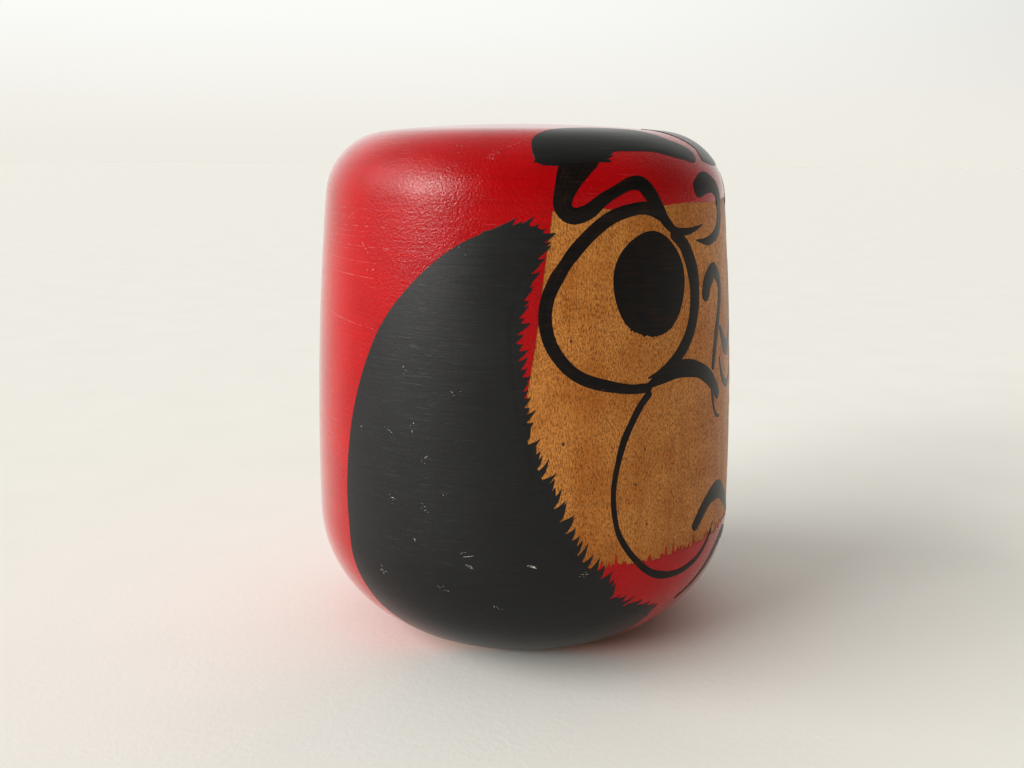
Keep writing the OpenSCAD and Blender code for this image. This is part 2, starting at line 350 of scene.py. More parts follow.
class Reading:
    """A socket of a material's tree, so that shader maths reads as Python expressions."""

    def __init__(self, bench: "Bench", socket: bpy.types.NodeSocket) -> None:
        """Keep the socket and the bench it belongs to."""
        self.bench = bench
        self.socket = socket

    def _sum(self, operation: str, first: Any, second: Any) -> "Reading":
        """Add a Math node for an operation on two values or readings."""
        return self.bench.node("ShaderNodeMath", {"operation": operation}, {0: first, 1: second})

    def __add__(self, other: "Number") -> "Reading":
        """This reading plus another."""
        return self._sum("ADD", self, other)

    def __radd__(self, other: "Number") -> "Reading":
        """Another plus this reading."""
        return self._sum("ADD", other, self)

    def __sub__(self, other: "Number") -> "Reading":
        """This reading less another."""
        return self._sum("SUBTRACT", self, other)

    def __rsub__(self, other: "Number") -> "Reading":
        """Another less this reading."""
        return self._sum("SUBTRACT", other, self)

    def __mul__(self, other: "Number") -> "Reading":
        """This reading times another."""
        return self._sum("MULTIPLY", self, other)

    def __rmul__(self, other: "Number") -> "Reading":
        """Another times this reading."""
        return self._sum("MULTIPLY", other, self)

    def larger(self, other: "Number") -> "Reading":
        """The larger of this reading and another."""
        return self._sum("MAXIMUM", self, other)

    def between(self, low: float, high: float) -> "Reading":
        """Smooth step from 0 where this reading is low to 1 where it is high."""
        return self.bench.node(
            "ShaderNodeMapRange",
            {"interpolation_type": "SMOOTHSTEP"},
            {"Value": self, "From Min": low, "From Max": high},
        )


Number = Union[Reading, float]


class Bench:
    """Builds the node tree of one material or of the surround."""

    def __init__(self, tree: bpy.types.NodeTree, shader: str, output: str) -> None:
        """Clear the tree, and give it a shader of one type and an output of another."""
        self.tree = tree
        self.tree.nodes.clear()
        self.shader = self.tree.nodes.new(shader)
        end = self.tree.nodes.new(output)
        self.tree.links.new(self.shader.outputs[0], end.inputs["Surface"])

    def node(
        self,
        kind: str,
        settings: Mapping[str, Any],
        sockets: Mapping[str | int, Any],
        out: str | int = 0,
    ) -> Reading:
        """Add a node.

        Args:
            kind: The node's type.
            settings: Its settings, which are set first.
            sockets: Values or readings for its input sockets, by name or number.
            out: The output socket wanted, by name or number.

        Returns:
            A reading of that output.
        """
        made = self.tree.nodes.new(kind)
        for name, value in settings.items():
            setattr(made, name, value)
        for name, value in sockets.items():
            self.feed(made.inputs[name], value)
        return Reading(self, made.outputs[out])

    def feed(self, socket: bpy.types.NodeSocket, value: Any) -> None:
        """Link a reading to a socket, or set a plain value on it."""
        if isinstance(value, Reading):
            self.tree.links.new(value.socket, socket)
        else:
            socket.default_value = value

    def place(self) -> Reading:
        """The place on the object, in metres."""
        return self.node("ShaderNodeTexCoord", {}, {}, "Object")

    def flat(self) -> Reading:
        """The piece's flat map: millimetres along and across a stroke."""
        return self.node("ShaderNodeUVMap", {"uv_map": "flat"}, {})

    def dryness(self) -> Reading:
        """How dry the brush was, from the piece's attribute."""
        return self.node("ShaderNodeAttribute", {"attribute_name": "dry"}, {}, "Fac")

    def drawn(self, vector: Reading, by: tuple[float, float, float]) -> Reading:
        """Stretch a pattern: multiply its coordinates by three numbers."""
        return self.node("ShaderNodeVectorMath", {"operation": "MULTIPLY"}, {0: vector, 1: by})

    def noise(
        self, vector: Reading, scale: float, detail: float = 2.0, rough: float = 0.5
    ) -> Reading:
        """Noise of a scale per unit of the vector, about 0.5."""
        return self.node(
            "ShaderNodeTexNoise",
            {"noise_dimensions": "3D"},
            {"Vector": vector, "Scale": scale, "Detail": detail, "Roughness": rough},
        )

    def cells(self, vector: Reading, scale: float) -> Reading:
        """Distance to the nearest of points scattered about one to a unit of the scaled vector."""
        return self.node(
            "ShaderNodeTexVoronoi", {"feature": "F1"}, {"Vector": vector, "Scale": scale}
        )

    def blend(self, share: Number, first: Any, second: Any) -> Reading:
        """Mix two colours: the first where the share is 0, and the second where it is 1."""
        return self.node(
            "ShaderNodeMix", {"data_type": "RGBA"}, {0: share, 6: first, 7: second}, 2
        )

    def grazing(self, most: float, start: float = 0.45) -> Reading:
        """Share that rises from 0 where the surface faces the eye to most where it turns away."""
        facing = self.node("ShaderNodeLayerWeight", {}, {"Blend": 0.5}, "Facing")
        return facing.between(start, 0.97) * most

    def bump(self, height: Reading, depth: float, strength: float = 1.0) -> Reading:
        """Bump whose full height is a depth in metres."""
        return self.node(
            "ShaderNodeBump", {}, {"Height": height, "Distance": depth, "Strength": strength}, 0
        )


def shade(red: int, green: int, blue: int) -> Colour:
    """Linear colour of a display colour given in 255ths."""

    def linear(value: int) -> float:
        """Linear value of one display value."""
        share = value / 255
        return share / 12.92 if share <= 0.04045 else ((share + 0.055) / 1.055) ** 2.4

    return (linear(red), linear(green), linear(blue), 1.0)


# ---- Finishes ----


@dataclass(frozen=True)
class Finish:
    """A finish: a named material, with the shader's uniform numbers and a recipe for the rest."""

    name: str
    coat_roughness: float = 0.2
    specular: float = 0.5

    def recipe(self, bench: Bench) -> dict[str, Any]:
        """What feeds the shader's sockets that change over the surface."""
        raise NotImplementedError

    def material(self) -> bpy.types.Material:
        """Make the material."""
        made = bpy.data.materials.new(self.name)
        made.use_nodes = True
        bench = Bench(made.node_tree, "ShaderNodeBsdfPrincipled", "ShaderNodeOutputMaterial")
        bench.shader.inputs["Coat Roughness"].default_value = self.coat_roughness
        bench.shader.inputs["Specular IOR Level"].default_value = self.specular
        for name, value in self.recipe(bench).items():
            bench.feed(bench.shader.inputs[name], value)
        return made


@dataclass(frozen=True)
class BareWood(Finish):
    """Pale close-grained wood gone honey brown: short dark flecks along the grain, which stands
    upright, faint streaks and a slight curl across them."""

    light: Colour = shade(217, 145, 70)
    dark: Colour = shade(187, 112, 42)
    fleck: Colour = shade(112, 54, 10)

    def recipe(self, bench: Bench) -> dict[str, Any]:
        """Streaks and curl mix the two browns, and flecks darken them and are pressed in."""
        place = bench.place()
        streak = bench.noise(bench.drawn(place, (1.0, 1.0, 0.05)), 260.0, 3.0, 0.6)
        curl = bench.noise(bench.drawn(place, (0.6, 0.6, 1.0)), 150.0, 2.0)
        ray = bench.noise(bench.drawn(place, (1.0, 1.0, 0.4)), 5200.0, 2.0, 0.6)
        pore = bench.noise(bench.drawn(place, (1.0, 1.0, 0.3)), 8600.0, 1.0)
        tone = (streak * 0.5 + curl * 0.5).between(0.34, 0.66)
        flecks = ray.between(0.42, 0.64) * 0.8
        pores = pore.between(0.48, 0.7) * 0.5
        body = bench.blend(tone, self.light, self.dark)
        mark = flecks.larger(pores)
        colour = bench.blend(mark, body, self.fleck)
        stain = bench.noise(place, 55.0, 2.0).between(0.5, 0.8) * 0.25
        colour = bench.blend(stain, colour, self.dark)
        return {
            "Base Color": colour,
            "Roughness": 0.36 + tone * 0.06 + mark * 0.18,
            "Coat Weight": bench.grazing(0.35),
            "Normal": bench.bump(1 - mark + curl * 0.5, 0.02 * MM, 0.7),
        }


@dataclass(frozen=True)
class RedPaint(Finish):
    """Bright red paint under wax: lines left by the lathe, a leathery film, and fine pale
    scratches that run round the doll."""

    bright: Colour = shade(184, 0, 8)
    deep: Colour = shade(162, 0, 7)
    worn: Colour = shade(222, 92, 98)

    def recipe(self, bench: Bench) -> dict[str, Any]:
        """Clouds and lathe lines mix the reds, sparse thin lines are worn pale, and the film's
        small lumps and the lines make the bump."""
        place = bench.place()
        cloud = bench.noise(place, 70.0, 3.0, 0.6)
        lines = bench.noise(bench.drawn(place, (0.03, 0.03, 1.0)), 2600.0, 3.0, 0.7)
        lumps = bench.noise(place, 2300.0, 3.0, 0.6)
        fine = bench.noise(bench.drawn(place, (0.03, 0.03, 1.0)), 6200.0, 1.0)
        where = bench.noise(place, 90.0, 1.0).between(0.5, 0.68)
        scratch = fine.between(0.66, 0.74) * where
        grit = bench.noise(place, 2600.0, 1.0).between(0.74, 0.8)
        tone = (cloud * 0.65 + lines * 0.35).between(0.32, 0.68)
        colour = bench.blend(tone, self.deep, self.bright)
        colour = bench.blend((scratch * 0.3).larger(grit * 0.25), colour, self.worn)
        return {
            "Base Color": colour,
            "Roughness": 0.19 + cloud * 0.08 + scratch * 0.25,
            "Coat Weight": bench.grazing(0.9, 0.42),
            "Normal": bench.bump(lumps + lines * 0.2 - scratch * 0.4, 0.085 * MM),
        }


@dataclass(frozen=True)
class BlackPaint(Finish):
    """Satin black paint: fine lines round the doll from the brush and the lathe, and a scatter of
    tiny pale nicks."""

    body: Colour = shade(5, 5, 6)
    sheen: Colour = shade(13, 14, 15)
    nick: Colour = shade(150, 150, 148)

    def recipe(self, bench: Bench) -> dict[str, Any]:
        """Lines and clouds mix the two blacks, nicks are sparse cells in a few regions."""
        place = bench.place()
        lines = bench.noise(bench.drawn(place, (0.035, 0.035, 1.0)), 3000.0, 3.0, 0.7)
        cloud = bench.noise(place, 80.0, 2.0)
        lumps = bench.noise(place, 1700.0, 2.0)
        near = bench.cells(place, 420.0)
        where = bench.noise(place, 170.0, 1.0).between(0.6, 0.7)
        nicks = (1 - near.between(0.05, 0.09)) * where
        fine = bench.noise(bench.drawn(place, (0.04, 0.04, 1.0)), 7000.0, 1.0).between(0.66, 0.76)
        tone = (lines * 0.6 + cloud * 0.4).between(0.34, 0.66)
        colour = bench.blend(tone, self.body, self.sheen)
        colour = bench.blend((nicks * 0.8).larger(fine * 0.025), colour, self.nick)
        return {
            "Base Color": colour,
            "Roughness": 0.4 + tone * 0.1 + nicks * 0.3,
            "Coat Weight": bench.grazing(0.9),
            "Normal": bench.bump(lines * 0.5 + lumps * 0.6 - fine * 0.3, 0.025 * MM),
        }


@dataclass(frozen=True)
class BrushInk(Finish):
    """Black brushed on thinly: brown where it is thin, streaked along the stroke, and broken where
    the brush ran dry."""

    body: Colour = shade(8, 6, 5)
    thin: Colour = shade(52, 26, 14)

    def recipe(self, bench: Bench) -> dict[str, Any]:
        """Streaks along the flat map thin the ink, and open gaps where the dryness is high."""
        place = bench.place()
        streak = bench.noise(bench.drawn(bench.flat(), (0.16, 3.4, 1.0)), 1.0, 3.0, 0.6)
        across = bench.noise(bench.drawn(place, (0.05, 0.05, 1.0)), 2800.0, 2.0, 0.6)
        pool = bench.noise(place, 420.0, 2.0)
        dry = bench.dryness()
        thinness = (streak * 0.4 + across * 0.35 + pool * 0.25 + dry * 0.25).between(0.46, 0.72)
        colour = bench.blend(thinness * 0.75, self.body, self.thin)
        return {
            "Base Color": colour,
            "Roughness": 0.42 + thinness * 0.1,
            "Coat Weight": bench.grazing(0.5),
            "Alpha": (streak * 0.75 + pool * 0.25 - dry + 0.5).between(0.4, 0.5),
            "Normal": bench.bump(streak + across, 0.02 * MM),
        }


@dataclass(frozen=True)
class WornMark(Finish):
    """Small scuffs and specks, broken up by a fine noise."""

    tint: Colour = shade(176, 172, 166)
    cover: float = 0.5

    def recipe(self, bench: Bench) -> dict[str, Any]:
        """The tint changes slightly, and noise breaks the mark up."""
        place = bench.place()
        break_up = bench.noise(place, 3600.0, 2.0)
        tone = bench.noise(place, 900.0, 1.0)
        faded = tuple(part * 0.55 for part in self.tint[:3]) + (1.0,)
        edge = 0.62 - self.cover * 0.3
        return {
            "Base Color": bench.blend(tone.between(0.35, 0.65), faded, self.tint),
            "Roughness": 0.55 + tone * 0.1,
            "Alpha": break_up.between(edge - 0.04, edge + 0.04),
        }


@dataclass(frozen=True)
class PaleFloor(Finish):
    """Plain pale board with a faint tooth."""

    tint: Colour = shade(244, 243, 238)
    low: Colour = shade(239, 238, 232)

    def recipe(self, bench: Bench) -> dict[str, Any]:
        """Two near whites in soft clouds, and a fine tooth."""
        place = bench.place()
        tooth = bench.noise(place, 700.0, 4.0, 0.65)
        cloud = bench.noise(place, 40.0, 2.0)
        return {
            "Base Color": bench.blend(cloud, self.low, self.tint),
            "Roughness": 0.75 + tooth * 0.1,
            "Normal": bench.bump(tooth, 0.1 * MM, 0.5),
        }


@dataclass
class Palette:
    """The materials that the pieces are dressed in, made once."""

    def __post_init__(self) -> None:
        """Make each material from its finish."""
        self.wood = BareWood("bare_wood_honey", coat_roughness=0.35, specular=0.15).material()
        self.speck = WornMark("wood_speck", tint=shade(84, 40, 22), cover=0.9).material()
        self.red = RedPaint("red_paint_waxed", coat_roughness=0.18, specular=0.17).material()
        self.pale = WornMark("red_worn_pale", tint=shade(228, 128, 134), cover=0.35).material()
        self.black = BlackPaint("black_paint_satin", coat_roughness=0.38, specular=0.28).material()
        self.scuff = WornMark("black_scuffed", tint=shade(205, 205, 198), cover=0.45).material()
        self.ink = BrushInk("black_brush_ink", coat_roughness=0.35, specular=0.15).material()


# ---- The face window ----


@dataclass(frozen=True)
class Window:
    """Window of bare wood in the red coat: level above and below, with slanting sides."""

    half_angle: float = 70.0
    seam: float = 25.3
    wood_depth: float = 0.1 * MM
    spikes: int = 190

    def levels(self, angle: Array, ragged: bool) -> tuple[Array, Array]:
        """Lower and upper edge of the window at angles round the doll.

        Each edge runs straight from corner to corner. A ragged edge also has narrow marks of the
        bristles, triangles that stand up into the window from the lower edge and hang a little
        from the upper one, and a slow waver.

        Args:
            angle: Degrees round from the middle of the face.
            ragged: Whether to add the marks and the waver.

        Returns:
            The lower and upper levels. Outside the window both are near the seam.
        """
        side = np.abs(angle)
        upper = np.interp(
            side, [0.0, 63.0, 65.0, 67.0, 70.0], [61.9, 60.6, 50.6, 38.5, self.seam]
        )
        lower = np.interp(side, [55.0, 68.0, 70.0], [-2.0, 5.1, self.seam])
        if ragged:
            rng = np.random.default_rng(11)
            at = rng.uniform(-66, 66, self.spikes)
            wide = rng.uniform(0.25, 0.8, self.spikes)
            tall = rng.gamma(1.6, 0.42, self.spikes)
            rise = tall * np.maximum(0, 1 - np.abs(angle[..., None] - at) / wide)
            inside = 1 - smoothstep(52.0, 57.0, side)
            waver = 0.35 * np.sin(angle * 0.11 + 1) + 0.18 * np.sin(angle * 0.47 + 2)
            lower = lower + inside * (rise.max(axis=-1) + waver * 0.6)
            flat = 1 - smoothstep(59.0, 62.0, side)
            upper = upper + flat * (0.2 * np.sin(angle * 0.19) + 0.06 * np.sin(angle * 1.7))
        outside = side > self.half_angle
        return (
            np.where(outside, self.seam - 1.2, lower),
            np.where(outside, self.seam + 1.2, upper),
        )

    def ground(self, angle: Array, level: Array) -> Array:
        """Lift of what a black stroke lies on: 0 on the red coat, and the depth of the wood in the
        window, with a ramp just inside the window's edge."""
        beside = [self.levels(angle + step, False) for step in (-1.3, -0.6, 0.0, 0.6, 1.3)]
        lower = np.max([pair[0] for pair in beside], axis=0)
        upper = np.min([pair[1] for pair in beside], axis=0)
        inside = np.minimum(level - lower, upper - level)
        within = np.abs(angle) < self.half_angle
        return -self.wood_depth * np.where(within, smoothstep(0.5, 1.6, inside), 0.0)


# ---- Brush work ----


@dataclass(frozen=True)
class Stroke:
    """A brush stroke: rows of [angle, level, share of the brush's width], and how dry the brush was
    at its start, middle and end."""

    rows: Sequence[Row]
    dry: tuple[float, float, float] = (0.0, 0.0, 0.05)

    def mirrored(self, side: Side) -> "Stroke":
        """The stroke as laid on a side of the face, from its rows for the left."""
        if side is Side.LEFT:
            return self
        return Stroke([(-a, b, c) for a, b, c in self.rows], self.dry)


@dataclass(frozen=True)
class Brush:
    """Lays films of black on the turned surface."""

    turning: Turning
    window: Window
    width: float = 3 * MM
    film: float = 0.035 * MM
    under: float = 0.14 * MM
    pitch: float = 0.3 * MM

    def spline(self, rows: Array, between: int = 12) -> Array:
        """Catmull-Rom curve through rows of numbers, with so many values from one to the next."""
        rows = np.asarray(rows, float)
        before = np.vstack([rows[:1], rows[:-2]])
        after = np.vstack([rows[2:], rows[-1:]])
        a, b, c, d = before, rows[:-1], rows[1:], after
        t = (np.arange(between) / between)[None, :, None]
        a, b, c, d = (part[:, None, :] for part in (a, b, c, d))
        curve = 0.5 * (
            2 * b
            + (c - a) * t
            + (2 * a - 5 * b + 4 * c - d) * t**2
            + (3 * b - a - 3 * c + d) * t**3
        )
        return np.vstack([curve.reshape(-1, rows.shape[1]), rows[-1:]])

    def lengths(self, path: Array) -> Array:
        """Distance along a path of places, measured on the surface."""
        radius, _ = self.turning.section(path[:, 1], 0.0)
        over = np.diff(np.radians(path[:, 0])) * (radius[1:] + radius[:-1]) / 2
        up = np.diff(path[:, 1]) * self.turning.height / 100
        return np.concatenate([[0.0], np.cumsum(np.hypot(over, up))])

    def resample(self, path: Array, at: Array) -> Array:
        """Rows of a path at distances along it."""
        done = self.lengths(path)
        return np.stack([np.interp(at, done, path[:, k]) for k in range(path.shape[1])], axis=-1)

    def ribbon(self, stroke: Stroke, seed: int, pitch: float | None = None) -> Patch:
        """Carry a low rounded profile along a stroke's curve on the surface.

        The curve runs through the stroke's rows. Its half width is that of the rows times a slow
        random waver, and falls to nothing round each end as a circle does. Across it the film's
        height is 1 - v^4 of its thickness, and the outermost points dive under the surface.

        Args:
            stroke: The stroke.
            seed: Seed of its waver.
            pitch: Distance from one station to the next.

        Returns:
            The patch.
        """
        pitch = pitch or self.pitch
        rng = np.random.default_rng(seed)
        path = self.spline(np.asarray(stroke.rows, float))
        path[:, 2] = np.maximum(path[:, 2], 0.02) * self.width / 2
        total = self.lengths(path)[-1]
        first, last = path[0, 2], path[-1, 2]
        count = max(6, int((total + first + last) / pitch))
        along = np.linspace(-first, total + last, count)
        turn = np.linspace(-np.pi / 2, 0, 5)[:-1]
        along = np.unique(
            np.concatenate([along, first * np.sin(turn), total - last * np.sin(turn)])
        )
        rows = self.resample(path, np.clip(along, 0, total))
        middle = np.clip(along, pitch, total - pitch)
        ahead = self.resample(path, middle + pitch)
        behind = self.resample(path, middle - pitch)
        radius, _ = self.turning.section(rows[:, 1], 0.0)
        scale = self.turning.height / 100
        over = np.radians(ahead[:, 0] - behind[:, 0]) * radius
        up = (ahead[:, 1] - behind[:, 1]) * scale
        size = np.maximum(np.hypot(over, up), 1e-9)
        over, up = over / size, up / size
        past = along - np.clip(along, 0, total)
        limit = np.where(past < 0, first, last)
        cap = np.sqrt(np.clip(1 - (past / limit) ** 2, 0, 1))
        waver = 1 + 0.07 * soft_noise(rng, len(along), max(3, int(total / (2.2 * MM))))
        half = rows[:, 2] * cap * waver
        v = np.array([-1, -1, -0.9, -0.6, -0.2, 0.2, 0.6, 0.9, 1, 1.0])[None, :]
        skirt = np.array([1, 0, 0, 0, 0, 0, 0, 0, 0, 1.0])[None, :]
        offset = half[:, None] * v
        u = past[:, None] * over[:, None] - offset * up[:, None]
        s = past[:, None] * up[:, None] + offset * over[:, None]
        angle = rows[:, :1] + np.degrees(u / radius[:, None])
        level = rows[:, 1:2] + s / scale
        ground = self.window.ground(angle, level)
        body = self.film * (0.35 + 0.65 * (1 - v**4)) * np.minimum(1, 0.3 + cap[:, None])
        lift = np.where(skirt > 0, -self.under, ground + body)
        flat = np.stack(
            [np.broadcast_to(along[:, None], angle.shape) / MM + seed * 7.0, offset / MM], axis=-1
        )
        dry = np.interp(along / max(total, 1e-9), [0.0, 0.5, 1.0], stroke.dry)[:, None]
        walls = (skirt[:, :-1] + skirt[:, 1:]) > 0
        return Patch.grid(
            self.turning.wrap(angle, level, lift),
            flat,
            np.broadcast_to(dry, angle.shape),
            sharp=np.broadcast_to(walls, (angle.shape[0] - 1, angle.shape[1] - 1)),
        )

    def field_between(
        self, first: Array, second: Array, count: int, rows: int, film: float
    ) -> Patch:
        """Fill the space between two edges with paint.

        Both edges are cut into the same number of equal steps, and places between a pair of
        points of the edges are in proportion along the straight line that joins them. The film
        thins towards the second edge over its last stretch, and drops under the surface at both.

        Args:
            first: Rows of places along one edge.
            second: Rows of places along the other, in the same direction.
            count: Steps along the edges.
            rows: Steps from one edge to the other.
            film: Thickness of the paint.

        Returns:
            The patch.
        """
        edges = []
        for edge in (first, second):
            path = self.spline(np.asarray(edge, float))
            edges.append(self.resample(path, np.linspace(0, self.lengths(path)[-1], count)))
        close = 1 - np.array([0.05, 0.036, 0.025, 0.016, 0.009, 0.004])
        share = np.concatenate([[0.0], np.linspace(0, 0.94, rows), close, [1.0, 1.0]])[:, None]
        angle = edges[0][:, 0] * (1 - share) + edges[1][:, 0] * share
        level = edges[0][:, 1] * (1 - share) + edges[1][:, 1] * share
        ground = self.window.ground(angle, level)
        skirt = np.zeros_like(angle)
        skirt[[0, -1], :] = 1
        gap = edges[1] - edges[0]
        face_degree = 0.66  # millimetres round to a degree where the films lie
        apart = np.hypot(gap[:, 0] * face_degree, gap[:, 1] * PER_LEVEL)
        thick = 0.2 + 0.8 * smoothstep(0.0, 0.9, (1 - share) * apart)
        lift = np.where(skirt > 0, -self.under, ground + film * thick)
        flat = np.stack([angle * PER_DEGREE, level * PER_LEVEL], axis=-1)
        walls = np.broadcast_to((skirt[:-1] + skirt[1:])[:, 1:] > 0, (len(share) - 1, count - 1))
        return Patch.grid(
            self.turning.wrap(angle, level, lift), flat, np.zeros_like(angle), sharp=walls
        )

    def disc(self, middle: Place, wide: float, tall: float, seed: int, fray: float = 0.0) -> Patch:
        """Fill an oval on the surface with paint.

        Points lie on rings, at the cosine and the sine of an angle times half the oval's width
        and height. The rim wavers, and where the oval faces down it is frayed.

        Args:
            middle: Place of its middle.
            wide: Its width.
            tall: Its height.
            seed: Seed of the rim.
            fray: Length of the longest marks of the bristles at the lower rim.

        Returns:
            The patch.
        """
        rng = np.random.default_rng(seed)
        spokes = 144 if wide > 2 * MM else 16
        turn = np.linspace(0, 2 * np.pi, spokes + 1)
        waver = 0.02 * np.cos(2 * turn + seed) + 0.012 * np.sin(5 * turn + seed)
        marks = rng.gamma(1.2, 0.35, spokes + 1)
        marks[-1] = marks[0]
        down = smoothstep(0.35, 0.95, -np.sin(turn))
        reach = 1 + waver + (fray / tall * 2) * down * np.clip(marks, 0, 1.6)
        ring = np.concatenate([np.linspace(0, 1, 10 if spokes > 20 else 3), [1.0]])[:, None]
        u = ring * reach * np.cos(turn) * wide / 2
        s = ring * reach * np.sin(turn) * tall / 2
        radius, _ = self.turning.section(np.array(middle[1]), 0.0)
        angle = middle[0] + np.degrees(u / radius)
        level = middle[1] + 100 * s / self.turning.height
        lift = self.window.ground(angle, level) + self.film * (1.1 - 0.1 * ring**2)
        lift[-1] = -self.under
        flat = np.stack([u / MM, s / MM], axis=-1)
        walls = np.zeros((u.shape[0] - 1, u.shape[1] - 1), bool)
        walls[-1] = True
        return Patch.grid(
            self.turning.wrap(angle, level, lift), flat, np.zeros_like(u), sharp=walls
        )

    def scuffs(
        self, places: Sequence[Place], number: int, spread: float, seed: int, lift: float
    ) -> Patch:
        """Scatter short thin marks about some places.

        Args:
            places: Middles of the clusters.
            number: Marks in each.
            spread: Distance that they scatter.
            seed: Seed of the scatter.
            lift: Lift of the paint that they are in.

        Returns:
            The marks, as one patch with the second finish.
        """
        rng = np.random.default_rng(seed)
        marks = []
        for place in places:
            for _ in range(number):
                angle = place[0] + rng.normal(0, spread / MM * 0.8)
                level = place[1] + rng.normal(0, spread / MM * 0.5)
                lean = rng.normal(-0.2, 0.6)
                long = rng.gamma(2.0, 0.17)
                wide = rng.uniform(0.015, 0.042)
                over, up = long * math.cos(lean), long * math.sin(lean)
                rows = [
                    (angle, level, wide * 0.5),
                    (angle + over * 0.8, level + up * 0.6, wide),
                    (angle + over * 1.5, level + up * 1.2, wide * 0.4),
                ]
                marks.append(self.line(rows, lift))
        return Patch.join(marks).finished(1)

    def line(self, rows: Sequence[Row], lift: float) -> Patch:
        """Carry a thin mark, five points wide, along rows on paint that stands at a lift."""
        path = self.spline(np.asarray(rows, float), 5)
        step = np.gradient(path[:, :2], axis=0)
        radius, _ = self.turning.section(path[:, 1], 0.0)
        scale = self.turning.height / 100
        over, up = np.radians(step[:, 0]) * radius, step[:, 1] * scale
        size = np.maximum(np.hypot(over, up), 1e-9)
        offset = path[:, 2:3] * self.width / 2 * np.array([[-1, -0.5, 0, 0.5, 1]])
        angle = path[:, :1] + np.degrees(-offset * (up / size)[:, None] / radius[:, None])
        level = path[:, 1:2] + offset * (over / size)[:, None] / scale
        high = lift + 0.012 * MM * np.array([[-1, 1, 1, 1, -1]])
        flat = np.stack([np.broadcast_to(path[:, :1], offset.shape), offset / MM], axis=-1)
        return Patch.grid(
            self.turning.wrap(angle, level, high + 0 * angle), flat, np.zeros_like(angle)
        )


# ---- Sub-assemblies ----


@dataclass
class Block:
    """The turned block of wood, bare in the face window, round the foot and on the base."""

    turning: Turning
    brush: Brush
    palette: Palette
    depth: float = 0.1 * MM
    columns: int = 300

    def base(self) -> Array:
        """Radii and heights across the base, from its middle out.

        The base is flat on its rim. Inside that it is turned a touch hollow, with shallow rings
        left by the tool and a small dimple where the tail centre held it.

        Returns:
            The radius and the height of each point.
        """
        rim, _ = self.turning.section(
            np.array(self.turning.level_of_foot(0.0, -self.depth)), -self.depth
        )
        radius = np.linspace(0, float(rim) - 0.25 * MM, 90)
        hollow = 0.35 * MM * (1 - smoothstep(0.75, 0.93, radius / rim))
        tool = 0.035 * MM * (1 + np.sin(radius / (0.9 * MM) * 2 * np.pi))
        dimple = 1.1 * MM * np.exp(-((radius / (1.2 * MM)) ** 4))
        inner = 1 - smoothstep(0.85, 0.95, radius / rim)
        return np.stack([radius, hollow + tool * inner + dimple], axis=-1)

    def build(self) -> bpy.types.Object:
        """Turn the base and the section about Z, and add the small dark specks of the face."""
        base = self.base()
        low = self.turning.level_of_foot(0.12 * MM, -self.depth)
        level = np.concatenate(
            [
                np.linspace(low, -10, 34),
                np.linspace(-9, 62, 60),
                np.linspace(63, 85, 30),
                np.linspace(86, self.turning.top_level, 12),
            ]
        )
        radius, height = self.turning.section(level, -self.depth)
        radius = np.concatenate([base[:, 0], radius])
        height = np.concatenate([base[:, 1], height])
        turn = np.linspace(-np.pi, np.pi, self.columns + 1)
        points = np.stack(
            [
                radius[:, None] * np.sin(turn),
                -radius[:, None] * np.cos(turn),
                np.broadcast_to(height[:, None], (len(height), len(turn))),
            ],
            axis=-1,
        )
        flat = np.stack(
            np.broadcast_arrays(np.degrees(turn)[None, :] * PER_DEGREE, height[:, None] / MM), axis=-1
        )
        wood = Patch.grid(points, flat, np.zeros(points.shape[:2]))
        specks = [
            self.brush.disc(place, wide * MM, wide * 1.3 * MM, 3 + k)
            for k, (place, wide) in enumerate(
                [
                    ((-58.7, 39.1), 0.4), ((-60.5, 21.5), 0.46), ((-39.5, 19.1), 0.36),
                    ((-42.0, 13.0), 0.4), ((-38.5, 5.2), 0.32), ((-16.5, 19.1), 0.38),
                    ((-30.0, 9.0), 0.26), ((-51.0, 30.5), 0.24), ((24.0, 12.0), 0.38),
                    ((47.0, 27.0), 0.34), ((35.5, 6.5), 0.3),
                ]
            )
        ]
        patch = Patch.join([wood, Patch.join(specks).finished(1)])
        return make_piece("wood_block", patch, [self.palette.wood, self.palette.speck])


